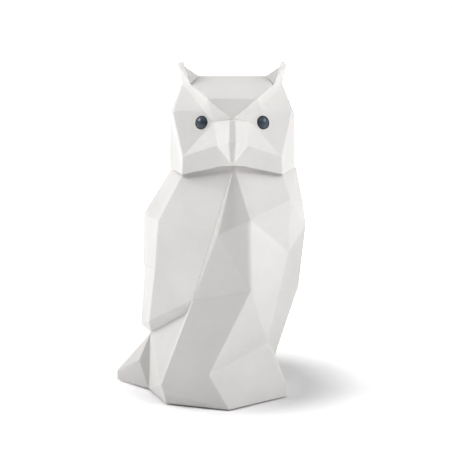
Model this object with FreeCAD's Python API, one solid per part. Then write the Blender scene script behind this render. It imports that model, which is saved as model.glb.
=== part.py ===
# Faceted porcelain owl figurine: slip-cast pieces luted together along the creases of the figure.
#
# Frame: millimetres, +Z up, the owl faces -Y, +X is the owl's own left.  The origin lies on the
# underside of the felt, below the middle of the head.  "l_" names are on the owl's left (+X).

import FreeCAD, Part
import os

V = FreeCAD.Vector

# ---- driving sizes -------------------------------------------------------------------------------
overall_width = 135.5     # tail tip to left shoulder
overall_depth = 113.0     # toes to the back of the wings
overall_height = 234.8    # table to ear tips, felt included
body_wall = 3.5           # cast wall of the torso
wing_thickness = 3.0      # cast thickness of the wings and feet that lie on the torso
head_wall = 3.5           # cast wall of the head and the face mask
felt_thickness = 1.0      # felt sheet under the base
felt_inset = 3.0          # felt kept in from the edge of the base plate
plate_thickness = 3.0     # plate that closes the base
plate_clearance = 0.4     # gap round the base plate
vent_diameter = 12.0      # kiln vent through the base plate
collar_clearance = 0.6    # gap round the neck collar
collar_wall = 2.5         # wall of the neck collar
collar_drop = 7.0         # how far the collar reaches into the torso
eye_diameter = 7.8        # glazed eye
eye_shank = 2.2           # depth of the eye set into the face
eye_dome = 1.9            # how far the dome stands out of the face
socket_clearance = 0.15   # gap round the eye
ledge_step = 1.4          # overhang of the covert layer on the right wing

# ---- proportions of the sculpted form --------------------------------------------------------------
# The corners below are written for a figure of this size, and stretch with the overall sizes.
drawn = V(135.5, 113.0, 234.8)
stretch = V(overall_width / drawn.x, overall_depth / drawn.y, overall_height / drawn.z)
ground = felt_thickness   # height of the underside of the porcelain
neck_front = V(0, -34, 168)   # the neck joint is a plane that falls towards the back
neck_fall = 0.243             # drop per millimetre backwards


def corner(x, y, z):
    """A corner of the form, stretched to the overall sizes."""
    return V(x * stretch.x, y * stretch.y, z * stretch.z)


def on_ground(x, y):
    return V(x * stretch.x, y * stretch.y, ground)


def on_neck(x, y):
    """A corner in the tilted plane of the neck joint."""
    return corner(x, y, neck_front.z - neck_fall * (y - neck_front.y))


def flush(a, b, c, point, axis):
    """The point moved along one axis into the plane of a, b and c, so the facet comes out flat."""
    normal = (b - a).cross(c - a)
    step = V(0, 0, 0)
    setattr(step, axis, 1.0)
    return point - step * (normal.dot(point - a) / normal.dot(step))


# ---- torso corners ---------------------------------------------------------------------------------
body = {
    # neck joint
    "neck_f": on_neck(1, -33.5), "neck_lf": on_neck(33, -16.2), "neck_l": on_neck(45, 8),
    "neck_lb": on_neck(27, 35), "neck_b": on_neck(0, 41), "neck_rb": on_neck(-27, 35),
    "neck_r": on_neck(-42, 11), "neck_rf": on_neck(-31.2, -16.2),
    # breast and belly
    "breast_l": corner(11.9, -41, 132.9), "breast_r": corner(-12.5, -45.5, 125.4),
    "under_r": corner(-9.9, -39, 121.5), "knee_r": corner(-26.7, -37.5, 75.6),
    "knee_l": corner(12.9, -34.5, 81),
    # left wing
    "lw_side": corner(50.1, 8, 130.8), "lw_bulge": corner(52.5, 12, 115.4),
    "lb_mid": corner(36, 46, 117), "lb_low": corner(32, 46, 74), "lb_tip": corner(19, 36, 31),
    # right wing
    "rw_front": corner(-50.8, -19.5, 126.2), "rw_side": corner(-62.5, 18, 122.5),
    "rw_fold": corner(-53.4, -17, 91.5), "rw_ledge": corner(-63.9, 19.4, 84.2),
    "rw_tip": corner(-58.3, -14.5, 52.6), "rw_end": corner(-65.7, 13.5, 40.7),
    "rb_mid": corner(-43, 48, 120), "rb_ledge": corner(-46, 51, 84), "rb_tip": corner(-50, 42, 38),
    # spine where the wings meet
    "spine_top": corner(-4, 56, 118), "spine_mid": corner(-8, 58, 80), "spine_end": corner(-14, 50, 34),
    # legs and rump below the wings
    "leg_top": corner(-57.5, -8, 42),
    "rump_r": corner(-53, 30, 33), "rump_b": corner(-13, 43, 29),
    "toe_r": corner(-47.5, -41.5, 9.5),
    # outline on the ground
    "g_front": on_ground(-2, -52), "g_mid": on_ground(18, -39), "g_left": on_ground(38.7, -26.4),
    "g_heel": on_ground(36, 2), "g_lb": on_ground(21, 32), "g_back": on_ground(-12, 42),
    "g_rb": on_ground(-51.5, 30), "g_tail": on_ground(-59, -13), "g_r": on_ground(-46, -40),
}
for high, low in (("rw_ledge", "rw_ledge_in"), ("rb_ledge", "rb_ledge_in"), ("spine_mid", "spine_mid_in")):
    inward = V(-body[high].x, -body[high].y, 0)
    inward.normalize()
    body[low] = body[high] + inward * ledge_step


def lay_flush(name, a, b, c, point):
    """Slide a corner forwards or backwards until it lies in the facet through three others."""
    body[name] = flush(body[a], body[b], body[c], point, "y")


lay_flush("ankle_l", "knee_r", "toe_r", "g_front", corner(-15.9, 0, 24))
lay_flush("ankle_r", "knee_r", "toe_r", "g_front", corner(-49.2, 0, 15))
lay_flush("leg_in", "knee_r", "rw_tip", "leg_top", corner(-31, 0, 64.2))
lay_flush("lw_tip", "ankle_l", "g_front", "g_mid", corner(25, 0, 35.5))
body["lw_end"] = corner(30.8, -9, 25.3)
lay_flush("foot_l", "lw_tip", "g_mid", "g_left", corner(38.8, 0, 7.5))
lay_flush("lw_front", "neck_f", "neck_lf", "breast_l", corner(39.8, 0, 142))
lay_flush("lw_fold", "breast_l", "knee_l", "lw_tip", corner(40, 0, 98))
lay_flush("lw_low", "lw_fold", "lw_tip", "lw_end", corner(47.6, 0, 71.5))
body["toe_l"] = body["ankle_l"] * 0.36 + body["g_front"] * 0.64

# Facets of the torso by the piece that carries them.
torso_facets = {
    "body_shell": [
        ("neck_f", "breast_l", "under_r"), ("under_r", "breast_l", "knee_l"),
        ("under_r", "knee_l", "knee_r"), ("knee_r", "knee_l", "ankle_l"),
        ("knee_l", "lw_tip", "ankle_l"),
        ("leg_top", "rump_r", "g_rb", "g_tail"), ("rump_r", "rump_b", "g_back", "g_rb"),
        ("rump_b", "lb_tip", "g_back"), ("lb_tip", "g_lb", "g_back"),
    ],
    "left_wing": [
        ("neck_f", "neck_lf", "lw_front", "breast_l"), ("breast_l", "lw_front", "lw_fold"),
        ("breast_l", "lw_fold", "lw_tip", "knee_l"),
        ("neck_lf", "neck_l", "lw_side", "lw_front"), ("lw_front", "lw_side", "lw_bulge"),
        ("lw_front", "lw_bulge", "lw_fold"), ("lw_fold", "lw_bulge", "lw_low"),
        ("lw_fold", "lw_low", "lw_end", "lw_tip"),
        ("neck_l", "neck_lb", "lb_mid", "lw_side"), ("lw_side", "lb_mid", "lw_bulge"),
        ("lw_bulge", "lb_mid", "lb_low", "lw_low"), ("lw_low", "lb_low", "lb_tip", "lw_end"),
        ("neck_lb", "neck_b", "spine_top", "lb_mid"), ("lb_mid", "spine_top", "spine_mid", "lb_low"),
        ("lb_low", "spine_mid", "spine_mid_in"), ("lb_low", "spine_mid_in", "spine_end", "lb_tip"),
        ("lb_tip", "spine_end", "rump_b"),
    ],
    "right_wing": [
        ("neck_f", "breast_r", "rw_front", "neck_rf"),
        ("knee_r", "rw_tip", "rw_fold", "rw_front", "breast_r"),
        ("neck_f", "under_r", "breast_r"), ("breast_r", "under_r", "knee_r"),
        ("neck_rf", "rw_front", "rw_side", "neck_r"), ("rw_front", "rw_fold", "rw_ledge", "rw_side"),
        ("rw_fold", "rw_ledge_in", "rw_ledge"), ("rw_fold", "rw_tip", "rw_end", "rw_ledge_in"),
        ("neck_r", "rw_side", "rb_mid", "neck_rb"), ("rw_side", "rw_ledge", "rb_ledge", "rb_mid"),
        ("rw_ledge", "rw_ledge_in", "rb_ledge_in", "rb_ledge"),
        ("rw_ledge_in", "rw_end", "rb_tip", "rb_ledge_in"),
        ("neck_rb", "rb_mid", "spine_top", "neck_b"), ("rb_mid", "rb_ledge", "spine_mid", "spine_top"),
        ("rb_ledge", "rb_ledge_in", "spine_mid_in", "spine_mid"),
        ("rb_ledge_in", "rb_tip", "spine_end", "spine_mid_in"),
        ("knee_r", "leg_in", "rw_tip"), ("leg_in", "leg_top", "rw_tip"),
        ("rw_tip", "leg_top", "rw_end"), ("leg_top", "rump_r", "rw_end"),
        ("rw_end", "rump_r", "rb_tip"), ("rb_tip", "rump_r", "rump_b", "spine_end"),
    ],
    "left_foot": [
        ("g_mid", "g_front", "toe_l", "ankle_l", "lw_tip"), ("lw_tip", "foot_l", "g_left", "g_mid"),
        ("lw_tip", "lw_end", "foot_l"),
        ("lw_end", "g_heel", "foot_l"), ("g_heel", "g_left", "foot_l"),
        ("lw_end", "lb_tip", "g_heel"), ("lb_tip", "g_lb", "g_heel"),
    ],
    "right_foot": [
        ("toe_l", "toe_r", "ankle_r", "knee_r", "ankle_l"), ("ankle_r", "leg_in", "knee_r"),
        ("toe_l", "g_front", "g_r", "toe_r"),
        ("leg_top", "leg_in", "ankle_r"), ("leg_top", "ankle_r", "g_tail"),
        ("ankle_r", "toe_r", "g_r", "g_tail"),
    ],
}

# ---- tail corners ----------------------------------------------------------------------------------
tail = {
    "fan_mid": corner(-66, -10.7, 22), "fan_side": corner(-83, 5.2, 8), "fan_back": corner(-76, 34, 7),
    "g_fan": on_ground(-83, 5.6), "g_fan_back": on_ground(-76, 36),
}
tail_facets = [
    ("leg_top", "g_tail", "fan_mid"), ("fan_mid", "g_tail", "g_fan", "fan_side"),
    ("leg_top", "fan_mid", "fan_side"), ("leg_top", "fan_side", "fan_back", "rump_r"),
    ("fan_side", "g_fan", "g_fan_back", "fan_back"), ("rump_r", "fan_back", "g_fan_back", "g_rb"),
    ("g_tail", "g_rb", "g_fan_back", "g_fan"), ("leg_top", "rump_r", "g_rb", "g_tail"),
]

# ---- head corners on the owl's left; the right side is the mirror image ------------------------------
head = {
    "bridge": corner(0, -45, 201.8), "jaw_mid": corner(0, -39.5, 170.6), "back": corner(0, 42, 188),
    "nape": on_neck(0, 42), "throat": on_neck(0, -34.5),
    "brow_in": corner(16.6, -38, 214.6), "brow_out": corner(19.4, -24.5, 204),
    "ear_f": corner(27.5, -19, 220.2), "ear_in": corner(22.5, -5, 224.3),
    "ear_b": corner(31, 8, 217.5), "nose": corner(12.4, -30.6, 197.6),
    "whisker": corner(33.2, -28, 173.3), "beak_side": corner(10, -42.5, 183.6),
    "cheek": corner(43, 8, 196), "crown": corner(15, 26, 214), "poll": corner(28, 34, 188),
    "neck_lf": on_neck(33, -16.5), "neck_lb": on_neck(27.5, 36.5),
}
head["ear_out"] = flush(head["brow_in"], head["brow_out"], head["ear_f"], corner(34, 0, 219), "y")
head["temple"] = flush(head["brow_out"], head["nose"], head["whisker"], corner(40.2, 0, 201.4), "y")
head["jaw"] = flush(head["whisker"], head["beak_side"], head["jaw_mid"], corner(34.2, 0, 159), "y")
head["neck_l"] = on_neck(43.3, 3.5)
eye_centre = flush(head["brow_out"], head["nose"], head["whisker"], corner(21, 0, 196.3), "y")

# Facets of the head on the owl's left; each has its mirror image on the right.
head_facets = {
    "head_shell": [
        ("brow_in", "ear_f", "ear_in"), ("brow_in", "brow_out", "ear_out", "ear_f"),
        ("ear_f", "ear_out", "ear_in"), ("ear_in", "ear_out", "ear_b"),
        ("ear_out", "brow_out", "temple"), ("ear_out", "temple", "cheek"),
        ("ear_out", "cheek", "ear_b"), ("ear_in", "ear_b", "crown"),
        ("ear_b", "cheek", "poll", "crown"), ("cheek", "neck_l", "neck_lb", "poll"),
        ("poll", "neck_lb", "nape", "back"), ("crown", "poll", "back"),
    ],
    "face_mask": [
        ("brow_out", "nose", "whisker", "temple"), ("brow_out", "brow_in", "bridge", "nose"),
        ("bridge", "beak_side", "nose"), ("bridge", "jaw_mid", "beak_side"),
        ("nose", "beak_side", "whisker"), ("whisker", "beak_side", "jaw_mid", "jaw"),
        ("temple", "whisker", "jaw"), ("temple", "jaw", "neck_l", "cheek"), ("jaw", "neck_lf", "neck_l"),
        ("jaw", "jaw_mid", "neck_lf"), ("jaw_mid", "throat", "neck_lf"),
    ],
}
# Facets that cross the middle of the head.
head_middle = [
    ("brow_in", "ear_in", "r_ear_in", "r_brow_in"), ("brow_in", "r_brow_in", "bridge"),
    ("ear_in", "crown", "r_crown", "r_ear_in"), ("crown", "back", "r_crown"),
]

# ---- beak and ear tufts ------------------------------------------------------------------------------
beak = {
    "ridge_top": corner(1.9, -46.5, 201.5), "ridge_mid": corner(2.2, -55, 188.4),
    "beak_tip": corner(1.4, -52, 174.3),
}
beak_facets = [
    ("ridge_top", "nose", "beak_side", "ridge_mid"), ("ridge_mid", "beak_side", "beak_tip"),
    ("beak_tip", "beak_side", "jaw_mid"), ("ridge_top", "bridge", "nose"),
    ("bridge", "beak_side", "nose"), ("bridge", "jaw_mid", "beak_side"),
]
beak_middle = [
    ("ridge_top", "ridge_mid", "r_ridge_mid", "r_ridge_top"), ("bridge", "ridge_top", "r_ridge_top"),
    ("ridge_mid", "beak_tip", "r_beak_tip", "r_ridge_mid"), ("beak_tip", "jaw_mid", "r_beak_tip"),
]
tuft = {
    "tip_out": corner(37, -6, 233), "tip_in": corner(33.2, -9, 234.8), "tip_b": corner(35, -2.5, 232.4),
    "slit_top": corner(34, -6, 233.4),
}
tuft["slit"] = head["ear_f"] * 0.62 + head["ear_in"] * 0.18 + head["ear_out"] * 0.20
tuft_facets = [
    ("ear_f", "ear_out", "tip_out", "tip_in"), ("ear_f", "tip_in", "slit_top", "slit"),
    ("slit", "slit_top", "tip_b", "ear_in"), ("tip_in", "tip_out", "tip_b", "slit_top"),
    ("tip_out", "ear_out", "ear_b", "tip_b"), ("tip_b", "ear_b", "ear_in"),
    ("ear_f", "slit", "ear_out"), ("slit", "ear_in", "ear_out"), ("ear_in", "ear_b", "ear_out"),
]


# ---- building with facets ------------------------------------------------------------------------------
def mirrored(name, points):
    """The name of a corner's mirror image; corners in the middle plane keep their own."""
    return name if abs(points[name].x) < 1e-6 else "r_" + name


def with_mirror(points):
    both = dict(points)
    for name, point in points.items():
        both[mirrored(name, points)] = V(-point.x, point.y, point.z)
    return both


def both_sides(facets, points):
    return list(facets) + [tuple(mirrored(n, points) for n in facet) for facet in facets]


def edges(facet):
    return list(zip(facet, facet[1:] + facet[:1]))


def outward(facets, points):
    """Turn the facets of a closed form so that neighbours agree and every normal points out."""
    by_edge = {}
    for index, facet in enumerate(facets):
        for a, b in edges(facet):
            by_edge.setdefault(frozenset((a, b)), []).append(index)
    done = {0: tuple(facets[0])}
    waiting = [0]
    while waiting:
        index = waiting.pop()
        for a, b in edges(done[index]):
            for other in by_edge[frozenset((a, b))]:
                if other not in done:
                    same_way = (a, b) in edges(tuple(facets[other]))
                    done[other] = tuple(reversed(facets[other])) if same_way else tuple(facets[other])
                    waiting.append(other)
    turned = [done[index] for index in range(len(facets))]
    volume = 0.0
    for facet in turned:
        for second, third in zip(facet[1:], facet[2:]):
            volume += points[facet[0]].dot(points[second].cross(points[third]))
    return turned if volume > 0 else [tuple(reversed(facet)) for facet in turned]


def normal_of(facet, points):
    total = V(0, 0, 0)
    for a, b in edges(facet):
        total += points[a].cross(points[b])
    return total.normalize()


def is_step(facet):
    """The narrow underside of a ledge, which the inside of the wall doesn't follow."""
    return any(name + "_in" in facet for name in facet)


def inset(points, facets, open_facets, depth):
    """Move every corner inwards so each facet shifts by the depth; open facets keep their plane."""
    moved = {}
    for name in points:
        matrix = [[1e-3 if i == j else 0.0 for j in range(3)] for i in range(3)]
        target = [0.0, 0.0, 0.0]
        for facet in facets:
            if name in facet and not is_step(facet):
                normal = normal_of(facet, points)
                weight, shift = (1e4, 0.0) if facet in open_facets else (1.0, -depth)
                for i in range(3):
                    target[i] += weight * normal[i] * shift
                    for j in range(3):
                        matrix[i][j] += weight * normal[i] * normal[j]
        rows = FreeCAD.Matrix(*matrix[0], 0, *matrix[1], 0, *matrix[2], 0, 0, 0, 0, 1)
        moved[name] = points[name] + rows.inverse().multVec(V(*target))
        for facet in open_facets:
            if name in facet:
                normal = normal_of(facet, points)
                moved[name] -= normal * normal.dot(moved[name] - points[facet[0]])
    return moved


def skin(corners):
    """One flat face, or a fan of triangles where the corners don't lie in one plane."""
    normal = (corners[1] - corners[0]).cross(corners[2] - corners[0]).normalize()
    if all(abs(normal.dot(point - corners[0])) < 1e-6 for point in corners):
        return [Part.Face(Part.makePolygon(corners + corners[:1]))]
    faces = []
    for second, third in zip(corners[1:], corners[2:]):
        triangle = [corners[0], second, third]
        faces.append(Part.Face(Part.makePolygon(triangle + triangle[:1])))
    return faces


def wall(a, b, outer, inner):
    """The strip between an outer and an inner edge, always split along the same diagonal."""
    a, b = sorted((a, b))
    return skin([outer[a], outer[b], inner[b]]) + skin([outer[a], inner[b], inner[a]])


def solid(faces):
    shell = Part.makeCompound(faces)
    shell.sewShape(1e-5)
    result = Part.Solid(shell.Shells[0])
    if result.Volume < 0:
        result.reverse()
    return result


def closed_form(points, facets):
    faces = []
    for facet in facets:
        faces += skin([points[name] for name in facet])
    return solid(faces)


def border(patch):
    """Edges used by one facet of the patch only."""
    count = {}
    for facet in patch:
        for a, b in edges(facet):
            count.setdefault(frozenset((a, b)), []).append((a, b))
    return [uses[0] for uses in count.values() if len(uses) == 1]


def cast_patch(patch, outer, inner):
    """A piece of wall: outer facets, inner facets and the rim between them."""
    faces = []
    for facet in patch:
        faces += skin([outer[name] for name in facet])
        faces += skin([inner[name] for name in facet])
    for a, b in border(patch):
        faces += wall(a, b, outer, inner)
    return solid(faces)


def slab(low, high, normal, point):
    """A wide flat block between two heights above a plane."""
    size = 4 * (overall_width + overall_depth)
    block = Part.makeBox(size, size, high - low, V(-size / 2, -size / 2, low))
    block.Placement = FreeCAD.Placement(point, FreeCAD.Rotation(V(0, 0, 1), normal))
    return block


parts = {}

# ---- torso, wings and feet -----------------------------------------------------------------------------
neck_ring = ("neck_f", "neck_lf", "neck_l", "neck_lb", "neck_b", "neck_rb", "neck_r", "neck_rf")
ground_ring = ("g_front", "g_r", "g_tail", "g_rb", "g_back", "g_lb", "g_heel", "g_left", "g_mid")
plan = [facet for patch in torso_facets.values() for facet in patch] + [neck_ring, ground_ring]
turned = outward(plan, body)
open_facets = turned[-2:]
patches = {}
start = 0
for name, patch in torso_facets.items():
    patches[name] = turned[start:start + len(patch)]
    start += len(patch)
bed = inset(body, turned, open_facets, wing_thickness)
cavity = inset(body, turned, open_facets, wing_thickness + body_wall)

for name in ("left_wing", "right_wing", "left_foot", "right_foot"):
    parts[name] = cast_patch(patches[name], body, bed)

faces = []
for name, patch in patches.items():
    outside = body if name == "body_shell" else bed
    for facet in patch:
        faces += skin([outside[corner_name] for corner_name in facet])
        faces += skin([cavity[corner_name] for corner_name in facet])
for a, b in border(patches["body_shell"]):
    faces += wall(a, b, body, bed)
for ring in open_facets:
    for a, b in edges(ring):
        faces += wall(a, b, bed, cavity)
parts["body_shell"] = solid(faces)

tail.update({name: body[name] for name in ("leg_top", "rump_r", "g_rb", "g_tail")})
parts["tail"] = closed_form(tail, tail_facets)

# ---- base plate and felt -------------------------------------------------------------------------------
plate_room = inset(body, turned, open_facets, wing_thickness + body_wall + plate_clearance)
up = V(0, 0, 1)
plate = closed_form(plate_room, turned).common(slab(0, plate_thickness, up, V(0, 0, ground)))
vent_middle = (body["g_front"] + body["g_back"]) * 0.5
vent = Part.makeCylinder(vent_diameter / 2, 20, V(vent_middle.x, vent_middle.y, -5))
parts["base_plate"] = plate.cut(vent)
felt_edge = inset(body, turned, open_facets, felt_inset)
outline = [V(felt_edge[name].x, felt_edge[name].y, 0) for name in ground_ring]
felt = Part.Face(Part.makePolygon(outline + outline[:1])).extrude(V(0, 0, felt_thickness))
parts["base_felt"] = felt.cut(vent)

# ---- head and face mask --------------------------------------------------------------------------------
skull = with_mirror(head)
head_ring = ("throat", "neck_lf", "neck_l", "neck_lb", "nape", "r_neck_lb", "r_neck_l", "r_neck_lf")
shell_patch = both_sides(head_facets["head_shell"], head) + head_middle
mask_patch = both_sides(head_facets["face_mask"], head)
turned = outward(shell_patch + mask_patch + [head_ring], skull)
shell_patch = turned[:len(shell_patch)]
mask_patch = turned[len(shell_patch):-1]
hollow = inset(skull, turned, turned[-1:], head_wall)
# The jaw's underside is narrower than the wall, so the hollow keeps off it towards the neck's middle.
neck_middle = sum((skull[name] for name in head_ring), V(0, 0, 0)) / len(head_ring)
for name in ("neck_lf", "neck_l", "r_neck_lf", "r_neck_l"):
    hollow[name] = skull[name] + (neck_middle - skull[name]).normalize() * (1.3 * head_wall)
mask = cast_patch(mask_patch, skull, hollow)
shell = cast_patch(shell_patch, skull, hollow)

# The neck web closes the head inside; the collar below it drops into the torso.
neck_normal = V(0, neck_fall * stretch.z / stretch.y, 1).normalize()
web = closed_form(hollow, turned).common(slab(0, head_wall, neck_normal, skull["nape"]))
collar_edge = inset(body, outward(plan, body), open_facets, wing_thickness + body_wall + collar_clearance)
collar_bore = inset(body, outward(plan, body), open_facets,
                    wing_thickness + body_wall + collar_clearance + collar_wall)
outer_ring = [collar_edge[name] for name in neck_ring]
inner_ring = [collar_bore[name] for name in neck_ring]
lift = neck_normal * head_wall
drop = neck_normal * collar_drop
collar = Part.Face(Part.makePolygon(outer_ring + outer_ring[:1])).extrude(-drop)
bore_ring = [point + lift * 2 for point in inner_ring]
bore = Part.Face(Part.makePolygon(bore_ring + bore_ring[:1])).extrude(-(drop + lift * 4))
parts["head_shell"] = shell.fuse(web).fuse(collar).cut(bore)

# ---- eyes in their sockets -----------------------------------------------------------------------------
eye_axis = normal_of(next(f for f in mask_patch if set(f) == set(head_facets["face_mask"][0])), skull)
dome_radius = (eye_diameter ** 2 / 4 + eye_dome ** 2) / (2 * eye_dome)
for side in ("left", "right"):
    sign = 1 if side == "left" else -1
    middle = V(sign * eye_centre.x, eye_centre.y, eye_centre.z)
    axis = V(sign * eye_axis.x, eye_axis.y, eye_axis.z)
    foot = middle - axis * eye_shank
    socket = Part.makeCylinder(eye_diameter / 2 + socket_clearance, eye_shank * 3, foot, axis)
    mask = mask.cut(socket)
    ball = Part.makeSphere(dome_radius, middle - axis * (dome_radius - eye_dome))
    cap = Part.makeCylinder(eye_diameter / 2, eye_dome * 2, middle, axis).common(ball)
    shank = Part.makeCylinder(eye_diameter / 2, eye_shank, foot, axis)
    parts[side + "_eye"] = cap.fuse(shank).removeSplitter()
parts["face_mask"] = mask

# ---- beak and ear tufts, modelled solid ------------------------------------------------------------------
beak.update({name: head[name] for name in ("bridge", "jaw_mid", "beak_side", "nose")})
facets = both_sides(beak_facets, beak) + beak_middle
parts["beak"] = closed_form(with_mirror(beak), facets)
tuft.update({name: head[name] for name in ("ear_f", "ear_in", "ear_out", "ear_b")})
parts["left_ear_tuft"] = closed_form(tuft, tuft_facets)
right_tuft = {name: V(-point.x, point.y, point.z) for name, point in tuft.items()}
parts["right_ear_tuft"] = closed_form(right_tuft, tuft_facets)

os.makedirs("parts", exist_ok=True)
for name, shape in parts.items():
    shape.exportStep("parts/" + name + ".step")
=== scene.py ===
# Faceted porcelain owl: the castings with their creases softened as slip casting leaves them, glazed
# eyes, matte bisque and felt, on a white table under soft studio light.
import bpy, bmesh, math
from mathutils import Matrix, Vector
from mathutils.bvhtree import BVHTree
from mathutils.geometry import delaunay_2d_cdt


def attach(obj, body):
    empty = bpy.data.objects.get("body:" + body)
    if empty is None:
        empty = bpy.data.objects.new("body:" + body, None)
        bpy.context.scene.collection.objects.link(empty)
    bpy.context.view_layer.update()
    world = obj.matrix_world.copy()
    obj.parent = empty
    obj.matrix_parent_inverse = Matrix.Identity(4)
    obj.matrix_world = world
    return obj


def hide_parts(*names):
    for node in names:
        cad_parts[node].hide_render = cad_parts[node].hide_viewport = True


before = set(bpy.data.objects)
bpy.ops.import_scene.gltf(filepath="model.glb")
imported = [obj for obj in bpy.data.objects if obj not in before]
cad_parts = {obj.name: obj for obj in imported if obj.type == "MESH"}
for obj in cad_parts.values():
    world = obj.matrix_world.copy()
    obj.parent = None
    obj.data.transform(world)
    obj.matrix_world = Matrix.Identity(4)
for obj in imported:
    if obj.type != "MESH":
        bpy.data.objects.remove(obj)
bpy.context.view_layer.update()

MM = 0.001
SOFT = 0.75 * MM          # reach of an ordinary crease's rounding on each side
SOFT_BREAST = 2.6 * MM    # the long upright crease down the breast is much softer
BREAST_ENDS = (11.9 * MM, 12.9 * MM)   # how far left of the middle that crease's two ends are
BREAST_LENGTH = 45 * MM   # and how tall it is at least
WARP = math.radians(5.2)  # a fold fainter than this is only the warp of one cast facet
FAINTEST = math.radians(1.0)
SHARPEST = math.radians(120)   # a crease that turns more than this stays sharp
SOCKET_GAP = 0.15 * MM    # gap round the eye
SOCKET_DEPTH = 2.2 * MM
EYE_DOME = 1.9 * MM       # how far the eye stands out of the face
EYES = ("left_eye", "right_eye")
CAST = [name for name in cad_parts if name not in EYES]


# ---- reading the castings as facets --------------------------------------------------------------
def key_of(point):
    return tuple(round(value * 1e5) for value in point)


def eye_seat(name):
    """Middle of the eye on the cheek facet, its outward axis and its radius, from the CAD eye."""
    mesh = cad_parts[name].data
    points = [v.co.copy() for v in mesh.vertices]
    # the flat back of the shank is the largest plane; its normal points into the head
    facing = {}
    for poly in mesh.polygons:
        way = tuple(round(c, 2) for c in poly.normal)
        facing[way] = facing.get(way, 0.0) + poly.area
    back = Vector(max(facing, key=facing.get)).normalized()
    deepest = min(p.dot(-back) for p in points)
    flat = [p for p in points if p.dot(-back) < deepest + 0.02 * MM]
    low = Vector([min(p[i] for p in flat) for i in range(3)])
    high = Vector([max(p[i] for p in flat) for i in range(3)])
    centre = (low + high) / 2
    radius = max((p - centre).length for p in flat)
    return centre - back * SOCKET_DEPTH, -back, radius


def facets_of(name, seats):
    """The casting as a welded mesh of flat facets, with the eye sockets filled in for now."""
    bm = bmesh.new()
    bm.from_mesh(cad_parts[name].data)
    bmesh.ops.remove_doubles(bm, verts=bm.verts, dist=0.01 * MM)
    for centre, axis, radius in seats:
        inside = []
        for face in bm.faces:
            radial = [((v.co - centre) - axis * (v.co - centre).dot(axis)).length for v in face.verts]
            deep = min((v.co - centre).dot(axis) for v in face.verts)
            if max(radial) < radius + 0.4 * MM and abs(deep) < SOCKET_DEPTH + 0.1 * MM:
                inside.append(face)
        if inside:
            bmesh.ops.delete(bm, geom=inside, context="FACES")
            rim = [e for e in bm.edges if len(e.link_faces) == 1]
            bmesh.ops.holes_fill(bm, edges=rim, sides=0)
    bmesh.ops.dissolve_limit(bm, angle_limit=math.radians(0.6), verts=bm.verts, edges=bm.edges)
    bmesh.ops.recalc_face_normals(bm, faces=bm.faces)
    return bm


seats = {name: eye_seat(name) for name in EYES}
forms = {name: facets_of(name, list(seats.values()) if name == "face_mask" else []) for name in CAST}
trees = {name: BVHTree.FromBMesh(form) for name, form in forms.items()}


def covered(name, face):
    """True where the facet lies against another casting, so it never shows."""
    middle = face.calc_center_median()
    for other, tree in trees.items():
        if other != name:
            spot, normal, _, gap = tree.find_nearest(middle, 0.05 * MM)
            if spot is not None and normal.dot(face.normal) < -0.99:
                return True
    return False


# ---- softening the creases -------------------------------------------------------------------------
# Each bare facet keeps its flat middle and gets two rings of strips round it that roll into the
# neighbouring facets.  Corners shared by several castings move together, so joints stay closed.
bare = {}
for name, form in forms.items():
    shown = form.faces.layers.int.new("shown")
    form.faces.index_update()
    seen = [not covered(name, face) for face in form.faces]
    for face, value in zip(form.faces, seen):
        face[shown] = value
    # a cast facet may be slightly warped: the faint fold across it is left out and its shading flows
    faint = [e for e in form.edges if len(e.link_faces) == 2 and e.calc_face_angle(0.0) < WARP
             and all(face[shown] for face in e.link_faces)]
    bmesh.ops.dissolve_edges(form, edges=faint, use_verts=False)
    form.faces.index_update()
    bare[name] = {face.index: bool(face[shown]) for face in form.faces}
by_edge = {}
for name, form in forms.items():
    for face in form.faces:
        if bare[name][face.index]:
            for loop in face.loops:
                a, b = key_of(loop.vert.co), key_of(loop.link_loop_next.vert.co)
                by_edge.setdefault(frozenset((a, b)), []).append((name, face))


def room(face):
    """How far strips may reach into a facet before they meet in its middle."""
    middle = face.calc_center_median()
    reach = []
    for loop in face.loops:
        a, b = loop.vert.co, loop.link_loop_next.vert.co
        along = (b - a).normalized()
        reach.append(((middle - a) - along * (middle - a).dot(along)).length)
    return 0.55 * min(reach)


def breast_crease(a, b):
    """True for the long crease from the throat's side of the breast to the knee, either way round."""
    upright = abs(a.z - b.z) > BREAST_LENGTH
    return upright and any(abs(one.x - BREAST_ENDS[0]) < 2 * MM and abs(two.x - BREAST_ENDS[1]) < 2 * MM
                           for one, two in ((a, b), (b, a)))


creases = {}
for edge, users in by_edge.items():
    if len(users) == 2:
        (_, one), (_, two) = users
        ends = [Vector(k) / 1e5 for k in edge]
        if len(ends) < 2:
            continue
        turn = one.normal.angle(two.normal, 0.0)
        if FAINTEST < turn < SHARPEST:
            soft = SOFT_BREAST if breast_crease(*ends) else SOFT
            soft = min(soft, room(one), room(two))
            other_point = two.calc_center_median()
            convex = (other_point - ends[0]).dot(one.normal) < 0
            radius = soft / math.tan(turn / 2)
            creases[edge] = {
                "reach": soft, "turn": turn, "sign": 1 if convex else -1, "radius": radius,
                "out": (one.normal + two.normal).normalized(),
            }

pull = {}
lean = {}
for edge, crease in creases.items():
    crease["lift"] = crease["radius"] * (1 / math.cos(crease["turn"] / 2) - 1)
    for end in edge:
        pull.setdefault(end, []).append(crease["out"] * (-crease["sign"] * crease["lift"]))
moved = {}
for end, pulls in pull.items():
    share = 0.5 if len(pulls) < 3 else 0.6
    shift = sum(pulls, Vector()) * share
    longest = max(p.length for p in pulls) * 1.5
    moved[end] = shift if shift.length <= longest else shift * (longest / shift.length)


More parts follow.
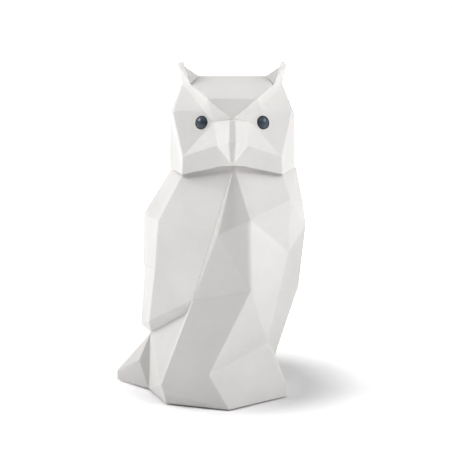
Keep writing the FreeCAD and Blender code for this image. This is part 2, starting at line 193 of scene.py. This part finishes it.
def inner_corner(point, before, after, normal, gap_before, gap_after):
    """The corner of a ring that keeps its own distance from each of the two edges."""
    one = normal.cross((point - before).normalized())
    two = normal.cross((after - point).normalized())
    dot = one.dot(two)
    if dot > 0.9995:
        return point + one * max(gap_before, gap_after)
    a = (gap_before - gap_after * dot) / (1 - dot * dot)
    b = (gap_after - gap_before * dot) / (1 - dot * dot)
    return point + one * a + two * b


def corner_normal(corners, i, normal):
    """The direction a warped facet faces at one of its corners."""
    one = (corners[i] - corners[i - 1]).normalized()
    two = (corners[(i + 1) % len(corners)] - corners[i]).normalized()
    local = one.cross(two)
    if local.length < 0.15:
        return normal.copy()
    local.normalize()
    if local.dot(normal) < 0:
        local = -local
    return local if local.angle(normal) < math.radians(9) else normal.copy()


class Facet:
    """A bare facet with what its strips need: corners, keys, creases, reaches and inner corners."""

    def __init__(self, face):
        self.corners = [v.co.copy() for v in face.verts]
        self.count = len(self.corners)
        self.keys = [key_of(c) for c in self.corners]
        self.normal = face.normal.copy()
        self.shades = [corner_normal(self.corners, i, self.normal) for i in range(self.count)]
        self.sides = [creases.get(frozenset((self.keys[i], self.keys[(i + 1) % self.count])))
                      for i in range(self.count)]
        small = 0.3 * min(SOFT, room(face))
        self.reach = [side["reach"] if side else small for side in self.sides]

    def ring(self, level):
        return [inner_corner(self.corners[i], self.corners[i - 1], self.corners[(i + 1) % self.count],
                             self.normal, self.reach[i - 1] * level, self.reach[i] * level)
                for i in range(self.count)]


strips = {}
for name, form in forms.items():
    for face in form.faces:
        if bare[name][face.index]:
            facet = Facet(face)
            strips[name, face.index] = facet
            for k, shade, loop in zip(facet.keys, facet.shades, face.loops):
                lean[k] = lean.get(k, Vector()) + shade * loop.calc_angle()
            inner = facet.ring(1.0)
            for i in range(facet.count):
                side, j = facet.sides[i], (i + 1) % facet.count
                if side:
                    along = (facet.corners[j] - facet.corners[i]).normalized()
                    clear = side.setdefault("clear", {})
                    for k, gap in ((i, (inner[i] - facet.corners[i]).dot(along)),
                                   (j, (facet.corners[j] - inner[j]).dot(along))):
                        key = facet.keys[k]
                        clear[key] = max(clear.get(key, 0.0), gap)
                        side.setdefault("shade", {}).setdefault(key, []).append(facet.shades[k])


def clear_spots(side, start, end, start_key, end_key):
    """The two spots on a crease where its corner zones end, seen from start to end."""
    length = (end - start).length
    along = (end - start) / length
    spots = []
    for key, origin, way in ((start_key, start, along), (end_key, end, -along)):
        gap = min(max(side["clear"][key], 0.0) + min(0.8 * side["reach"], 0.12 * length), 0.47 * length)
        spots.append(origin + way * gap)
    return spots


class Piece:
    """Collects corners, faces and shading normals of one visible piece."""

    def __init__(self):
        self.points, self.faces, self.normals, self.lookup = [], [], [], {}

    def point(self, co, tag=None):
        spot = tag if tag is not None else tuple(round(c * 1e7) for c in co)
        if spot not in self.lookup:
            self.lookup[spot] = len(self.points)
            self.points.append(co)
        return self.lookup[spot]

    def face(self, corners, normals):
        self.faces.append(corners)
        self.normals.extend(normals)

    def make(self, name):
        mesh = bpy.data.meshes.new(name)
        mesh.from_pydata(self.points, [], self.faces)
        mesh.polygons.foreach_set("use_smooth", [True] * len(mesh.polygons))
        mesh.normals_split_custom_set([n.normalized() for n in self.normals])
        mesh.update()
        obj = bpy.data.objects.new(name, mesh)
        bpy.context.scene.collection.objects.link(obj)
        return obj


def socketed_middle(piece, ring, normal, seat):
    """The flat middle of a cheek with the round socket sunk into it."""
    centre, axis, radius = seat
    side = normal.orthogonal().normalized()
    up = normal.cross(side)
    count = 64
    bore = radius + SOCKET_GAP

    def circle(r, depth):
        points = []
        for i in range(count):
            turn = 2 * math.pi * i / count
            points.append(centre + (side * math.cos(turn) + up * math.sin(turn)) * r - normal * depth)
        return points

    lip = circle(bore + 0.25 * MM, 0.0)
    rows = [lip, circle(bore + 0.07 * MM, 0.07 * MM), circle(bore, 0.25 * MM),
            circle(bore, SOCKET_DEPTH + 0.05 * MM)]
    flat = ring + lip
    plane = [Vector(((p - centre).dot(side), (p - centre).dot(up))) for p in flat]
    rim = len(ring)
    edges = [(i, (i + 1) % rim) for i in range(rim)]
    edges += [(rim + i, rim + (i + 1) % count) for i in range(count)]
    _, _, triangles, *_ = delaunay_2d_cdt(plane, edges, [], 1, 1e-9)
    ids = [piece.point(p) for p in flat]
    for tri in triangles:
        if min(tri) < rim:
            piece.face([ids[i] for i in tri], [normal] * 3)
    tilt = [0.0, 0.7, 1.5, 1.5]
    for row in range(len(rows) - 1):
        for i in range(count):
            j = (i + 1) % count
            corners = [rows[row][i], rows[row][j], rows[row + 1][j], rows[row + 1][i]]
            turns = [(i, row), (j, row), (j, row + 1), (i, row + 1)]
            normals = []
            for step, level in turns:
                angle = 2 * math.pi * step / count
                inward = -(side * math.cos(angle) + up * math.sin(angle))
                normals.append(normal * math.cos(tilt[level]) + inward * math.sin(tilt[level]))
            piece.face([piece.point(c) for c in reversed(corners)], list(reversed(normals)))
    piece.face([piece.point(p) for p in rows[-1]], [normal] * count)


def own_shade(facet, i, side, key, default, level):
    """Shading of a corner for the strip of one crease; a long corner zone keeps the crease's own."""
    if not side or side["clear"][key] < 2.5 * side["reach"]:
        return default
    pair = sum(side["shade"][key], Vector()).normalized()
    return pair if level == 0 else (pair + facet.shades[i]).normalized()


def rows_of(facet):
    """Three rows round a facet, on the creases, half way in and on the flat rim.

    Each spot has its place, its shading for the strip before it and after it, and its key.
    """
    rows = [[], [], []]
    rings = [None, facet.ring(0.5), facet.ring(1.0)]
    for i in range(facet.count):
        j = (i + 1) % facet.count
        before, side = facet.sides[i - 1], facet.sides[i]
        key, shade = facet.keys[i], facet.shades[i]
        spot, mixed = rings[1][i].copy(), shade.copy()
        for crease in (before, side):
            if crease:
                depth = crease["radius"] * (1 - math.cos(crease["turn"] / 4))
                spot -= facet.normal * (depth * crease["sign"])
                mixed += (crease["out"] - facet.normal) * 0.5
        mixed.normalize()
        for level, place, default in ((0, facet.corners[i] + moved.get(key, Vector()), lean[key].normalized()),
                                      (1, spot, mixed)):
            rows[level].append((place, own_shade(facet, i, before, key, default, level),
                                own_shade(facet, i, side, key, default, level), None if level else key))
        rows[2].append((rings[2][i], shade, shade, None))
        if side:
            inward = facet.normal.cross((facet.corners[j] - facet.corners[i]).normalized())
            depth = side["radius"] * (1 - math.cos(side["turn"] / 4))
            ends = clear_spots(side, facet.corners[i], facet.corners[j], key, facet.keys[j])
            rim_start, rim_way = rings[2][i], (rings[2][j] - rings[2][i]).normalized()
            for spot, end_key, end_shade in zip(ends, (key, facet.keys[j]), (shade, facet.shades[j])):
                pair = sum(side["shade"][end_key], Vector()).normalized()
                half = (pair + end_shade).normalized()
                flat = spot + inward * facet.reach[i]
                flat = rim_start + rim_way * (flat - rim_start).dot(rim_way)
                rows[0].append((spot - side["out"] * (side["sign"] * side["lift"]), pair, pair, None))
                rows[1].append((spot + inward * (facet.reach[i] * 0.5) - facet.normal * (depth * side["sign"]),
                                half, half, None))
                rows[2].append((flat, end_shade, end_shade, None))
    return rows


def soften(name):
    """The casting rebuilt as a piece with softened creases and, in the mask, the eye sockets."""
    form = forms[name]
    piece = Piece()
    for face in form.faces:
        if not bare[name][face.index]:
            # a hidden facet follows the spots that its bare neighbours put on the shared edges
            ids = []
            for loop in face.loops:
                start, end = loop.vert.co.copy(), loop.link_loop_next.vert.co.copy()
                key, end_key = key_of(start), key_of(end)
                ids.append(piece.point(start + moved.get(key, Vector()), key))
                side = creases.get(frozenset((key, end_key)))
                if side:
                    for spot in clear_spots(side, start, end, key, end_key):
                        ids.append(piece.point(spot - side["out"] * (side["sign"] * side["lift"])))
            piece.face(ids, [face.normal.copy()] * len(ids))
            continue
        facet = strips[name, face.index]
        if not any(facet.sides):
            ids = [piece.point(c + moved.get(k, Vector()), k) for c, k in zip(facet.corners, facet.keys)]
            piece.face(ids, facet.shades)
            continue
        rows = rows_of(facet)
        ids = [[piece.point(spot, key) for spot, _, _, key in row] for row in rows]
        for outer in (0, 1):
            for i in range(len(rows[0])):
                j = (i + 1) % len(rows[0])
                shade = [rows[outer][i][2], rows[outer][j][1], rows[outer + 1][j][1], rows[outer + 1][i][2]]
                piece.face([ids[outer][i], ids[outer][j], ids[outer + 1][j], ids[outer + 1][i]], shade)
        seat = None
        if name == "face_mask":
            for candidate in seats.values():
                level = abs((candidate[0] - facet.corners[0]).dot(facet.normal)) < 0.3 * MM
                if level and facet.normal.dot(candidate[1]) > 0.999:
                    seat = candidate
        if seat:
            socketed_middle(piece, [spot for spot, _, _, _ in rows[2]], facet.normal, seat)
        else:
            piece.face(ids[2], [shade for _, shade, _, _ in rows[2]])
    return piece.make(name + "_cast")


cast = {name: soften(name) for name in CAST}


# ---- eyes ------------------------------------------------------------------------------------------
def turned(name, centre, axis, profile, count=72):
    """A piece turned about an axis from (radius, height) steps; the first and last lie on the axis."""
    piece = Piece()
    side = axis.orthogonal().normalized()
    up = axis.cross(side)
    slopes = []
    for i in range(len(profile)):
        before, after = profile[max(i - 1, 0)], profile[min(i + 1, len(profile) - 1)]
        slopes.append(Vector((after[1] - before[1], -(after[0] - before[0]))))
    rings = []
    for radius, height in profile:
        if radius < 1e-9:
            rings.append([centre + axis * height] * count)
        else:
            rings.append([centre + axis * height + (side * math.cos(2 * math.pi * i / count)
                          + up * math.sin(2 * math.pi * i / count)) * radius for i in range(count)])
    for row in range(len(profile) - 1):
        for i in range(count):
            j = (i + 1) % count
            corners, normals = [], []
            for step, level in ((i, row), (j, row), (j, row + 1), (i, row + 1)):
                spot = rings[level][step]
                if corners and (spot - corners[-1]).length < 1e-9:
                    continue
                turn = 2 * math.pi * (step + (0.5 if profile[level][0] < 1e-9 else 0)) / count
                out = side * math.cos(turn) + up * math.sin(turn)
                normal = out * slopes[level].x + axis * slopes[level].y
                if profile[level][0] < 1e-9:
                    normal = axis * (1 if level == len(profile) - 1 else -1)
                corners.append(spot)
                normals.append(normal)
            if (corners[0] - corners[-1]).length < 1e-9:
                corners.pop()
                normals.pop()
            piece.face([piece.point(c) for c in corners], normals)
    return piece.make(name)


def eye(name):
    """The glazed eye: a short shank with rounded edges under a shallow dome."""
    centre, axis, radius = seats[name]
    curve = (radius * radius + EYE_DOME * EYE_DOME) / (2 * EYE_DOME)
    profile = [(0.0, -SOCKET_DEPTH), (radius - 0.3 * MM, -SOCKET_DEPTH), (radius, -SOCKET_DEPTH + 0.3 * MM),
               (radius, -0.12 * MM), (radius - 0.05 * MM, 0.02 * MM)]
    start = math.asin((radius - 0.1 * MM) / curve)
    for i in range(20):
        turn = start * (1 - i / 20)
        profile.append((curve * math.sin(turn), curve * math.cos(turn) - (curve - EYE_DOME)))
    profile.append((0.0, EYE_DOME))
    return turned(name + "_glazed", centre, axis, profile)


for name in EYES:
    cast[name] = eye(name)


# ---- finishes ----------------------------------------------------------------------------------------
def material(name):
    mat = bpy.data.materials.new(name)
    mat.use_nodes = True
    tree = mat.node_tree
    tree.nodes.clear()
    out = tree.nodes.new("ShaderNodeOutputMaterial")
    shader = tree.nodes.new("ShaderNodeBsdfPrincipled")
    tree.links.new(shader.outputs[0], out.inputs[0])
    place = tree.nodes.new("ShaderNodeTexCoord")
    return mat, tree, shader, place


def noise(tree, place, scale, detail=3.0, rough=0.5):
    node = tree.nodes.new("ShaderNodeTexNoise")
    node.inputs["Scale"].default_value = scale
    node.inputs["Detail"].default_value = detail
    node.inputs["Roughness"].default_value = rough
    tree.links.new(place.outputs["Object"], node.inputs["Vector"])
    return node.outputs["Fac"]


def ramp(tree, value, stops):
    node = tree.nodes.new("ShaderNodeValToRGB")
    while len(node.color_ramp.elements) < len(stops):
        node.color_ramp.elements.new(0.5)
    for element, (spot, colour) in zip(node.color_ramp.elements, stops):
        element.position = spot
        element.color = (*colour, 1.0)
    tree.links.new(value, node.inputs["Fac"])
    return node.outputs["Color"]


def span(tree, value, low, high):
    """Spreads the middle of a noise over a range."""
    node = tree.nodes.new("ShaderNodeMapRange")
    node.inputs["From Min"].default_value = 0.3
    node.inputs["From Max"].default_value = 0.7
    node.inputs["To Min"].default_value = low
    node.inputs["To Max"].default_value = high
    tree.links.new(value, node.inputs["Value"])
    return node.outputs["Result"]


def blend(tree, kind, amount, one, two):
    node = tree.nodes.new("ShaderNodeMix")
    node.data_type = "RGBA"
    node.blend_type = kind
    for socket, value in ((node.inputs["Factor"], amount), (node.inputs["A"], one), (node.inputs["B"], two)):
        if isinstance(value, bpy.types.NodeSocket):
            tree.links.new(value, socket)
        else:
            socket.default_value = value if isinstance(value, float) else (*value, 1.0)
    return node.outputs["Result"]


def bump(tree, shader, layers):
    """Stacks several reliefs, each (height socket, distance in metres, strength)."""
    last = None
    for height, distance, strength in layers:
        node = tree.nodes.new("ShaderNodeBump")
        node.inputs["Distance"].default_value = distance
        node.inputs["Strength"].default_value = strength
        tree.links.new(height, node.inputs["Height"])
        if last:
            tree.links.new(last, node.inputs["Normal"])
        last = node.outputs["Normal"]
    tree.links.new(last, shader.inputs["Normal"])


def bisque(name, light, dark, rough=(0.50, 0.62)):
    """Unglazed white porcelain: satin, with faint firing clouds, rare iron specks and a fine tooth."""
    mat, tree, shader, place = material(name)
    clouds = ramp(tree, noise(tree, place, 22, 2), [(0.35, dark), (0.65, light)])
    specks = ramp(tree, noise(tree, place, 900, 1), [(0.77, (0, 0, 0)), (0.84, (1, 1, 1))])
    speckle = blend(tree, "MIX", specks, clouds, tuple(c * 0.8 for c in dark))
    fine = noise(tree, place, 160, 4, 0.6)
    tooth = ramp(tree, fine, [(0.3, (0.94,) * 3), (0.6, (1,) * 3)])
    tree.links.new(blend(tree, "MULTIPLY", 0.25, speckle, tooth), shader.inputs["Base Color"])
    tree.links.new(span(tree, noise(tree, place, 60, 3), *rough), shader.inputs["Roughness"])
    shader.inputs["Specular IOR Level"].default_value = 0.35
    waves, grain = noise(tree, place, 40, 2), noise(tree, place, 1400, 2)
    bump(tree, shader, [(waves, 0.00022, 0.25), (grain, 0.00002, 0.5)])
    return mat


def glaze(name):
    """Slate blue glaze whose tone varies at random, with fine crazing in the depth."""
    mat, tree, shader, place = material(name)
    pool = ramp(tree, noise(tree, place, 260, 2), [(0.3, (0.074, 0.103, 0.130)), (0.7, (0.098, 0.130, 0.160))])
    web = tree.nodes.new("ShaderNodeTexVoronoi")
    web.feature = "DISTANCE_TO_EDGE"
    web.inputs["Scale"].default_value = 900
    tree.links.new(place.outputs["Object"], web.inputs["Vector"])
    craze = ramp(tree, web.outputs["Distance"], [(0.0, (0.93,) * 3), (0.02, (1,) * 3)])
    tree.links.new(blend(tree, "MULTIPLY", 0.5, pool, craze), shader.inputs["Base Color"])
    tree.links.new(span(tree, noise(tree, place, 300, 2), 0.30, 0.38), shader.inputs["Roughness"])
    shader.inputs["Coat Weight"].default_value = 0.25
    shader.inputs["Coat Roughness"].default_value = 0.15
    bump(tree, shader, [(noise(tree, place, 300, 2), 0.00005, 0.15)])
    return mat


def felt(name):
    """Grey wool felt with a short nap."""
    mat, tree, shader, place = material(name)
    nap = noise(tree, place, 2600, 3, 0.7)
    tree.links.new(ramp(tree, nap, [(0.3, (0.42, 0.41, 0.39)), (0.7, (0.62, 0.61, 0.58))]),
                   shader.inputs["Base Color"])
    tree.links.new(span(tree, nap, 0.9, 1.0), shader.inputs["Roughness"])
    shader.inputs["Sheen Weight"].default_value = 0.4
    bump(tree, shader, [(nap, 0.0002, 0.8)])
    return mat


porcelain = bisque("bisque_porcelain", (0.80, 0.79, 0.78), (0.765, 0.755, 0.742))
bare_clay = bisque("unfettled_base", (0.74, 0.72, 0.69), (0.68, 0.66, 0.63), (0.62, 0.8))
finishes = {"base_felt": (felt("wool_felt"), "felt"), "base_plate": (bare_clay, "porcelain")}
for name in EYES:
    finishes[name] = (glaze("slate_glaze"), "eye_glaze")
for name, obj in cast.items():
    finish, slot = finishes.get(name, (porcelain, "porcelain"))
    obj.data.materials.append(finish)
    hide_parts(name)
    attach(obj, "root")


# ---- table, lights and camera ----------------------------------------------------------------------
def aim(obj, where, target):
    obj.location = where
    obj.rotation_mode = "QUATERNION"
    obj.rotation_quaternion = (Vector(target) - Vector(where)).to_track_quat("-Z", "Y")
    bpy.context.scene.collection.objects.link(obj)


table_mesh = bpy.data.meshes.new("table_top")
half = 4.0
table_corners = [(-half, -half, 0), (half, -half, 0), (half, half, 0), (-half, half, 0)]
table_mesh.from_pydata(table_corners, [], [(0, 1, 2, 3)])
table_top = bpy.data.objects.new("table_top", table_mesh)
table_top.location.z = -0.00002
bpy.context.scene.collection.objects.link(table_top)
mat, tree, shader, place = material("white_sweep")
tree.links.new(ramp(tree, noise(tree, place, 3, 2), [(0.3, (0.84, 0.835, 0.84)), (0.7, (0.86, 0.855, 0.86))]),
               shader.inputs["Base Color"])
# painted light: the sweep glows white away from the owl, as a lit studio table does, and only faintly close
# round it, so the owl's shadows on it stay near the base
far = tree.nodes.new("ShaderNodeVectorMath")
far.operation = "LENGTH"
tree.links.new(place.outputs["Object"], far.inputs[0])
reach = tree.nodes.new("ShaderNodeMath")
reach.operation = "MULTIPLY"
reach.inputs[1].default_value = 0.5
tree.links.new(far.outputs["Value"], reach.inputs[0])
glow_stops = ((0.028, 0.02), (0.048, 0.40), (0.30, 0.52), (0.60, 0.95))
glow = ramp(tree, reach.outputs["Value"], [(spot, (level,) * 3) for spot, level in glow_stops])
tree.links.new(glow, shader.inputs["Emission Strength"])
shader.inputs["Emission Color"].default_value = (1.0, 1.0, 1.0, 1.0)
shader.inputs["Roughness"].default_value = 0.8
shader.inputs["Specular IOR Level"].default_value = 0.1
table_mesh.materials.append(mat)

world = bpy.data.worlds.new("studio")
bpy.context.scene.world = world
world.use_nodes = True
world.node_tree.nodes["Background"].inputs["Color"].default_value = (1.0, 1.0, 1.0, 1.0)
world.node_tree.nodes["Background"].inputs["Strength"].default_value = 0.02


def softbox(name, where, target, size, power, colour=(1, 1, 1)):
    light = bpy.data.lights.new(name, "AREA")
    light.shape = "RECTANGLE"
    light.size, light.size_y = size
    light.energy = power
    light.color = colour
    aim(bpy.data.objects.new(name, light), where, target)


# direction round the owl (0 is in front, 90 on the viewer's right), elevation, side in metres, power
RIG = [
    ("high_front", 0, 66, 0.7, 3.7), ("right_key", 60, 38, 0.7, 5.2), ("right_bank", 90, 38, 0.7, 8.2),
    ("back_left", 240, 38, 0.7, 4.4), ("left_bank", 270, 38, 0.7, 11.6),
]
for name, azimuth, elevation, size, power in RIG:
    turn, rise = math.radians(azimuth), math.radians(elevation)
    softbox(name, (1.4 * math.sin(turn) * math.cos(rise), -1.4 * math.cos(turn) * math.cos(rise),
                   0.12 + 1.4 * math.sin(rise)), (0, 0, 0.12), (size, size), power)

camera = bpy.data.cameras.new("camera")
camera.lens = 113.8
camera.sensor_width = 36
camera_object = bpy.data.objects.new("camera", camera)
bpy.context.scene.collection.objects.link(camera_object)
camera_object.location = (-0.0042, -0.96593, 0.37652)
camera_object.rotation_euler = (math.radians(75), 0, 0)
bpy.context.scene.camera = camera_object
bpy.context.scene.view_settings.view_transform = "Standard"
bpy.context.scene.view_settings.gamma = 0.75
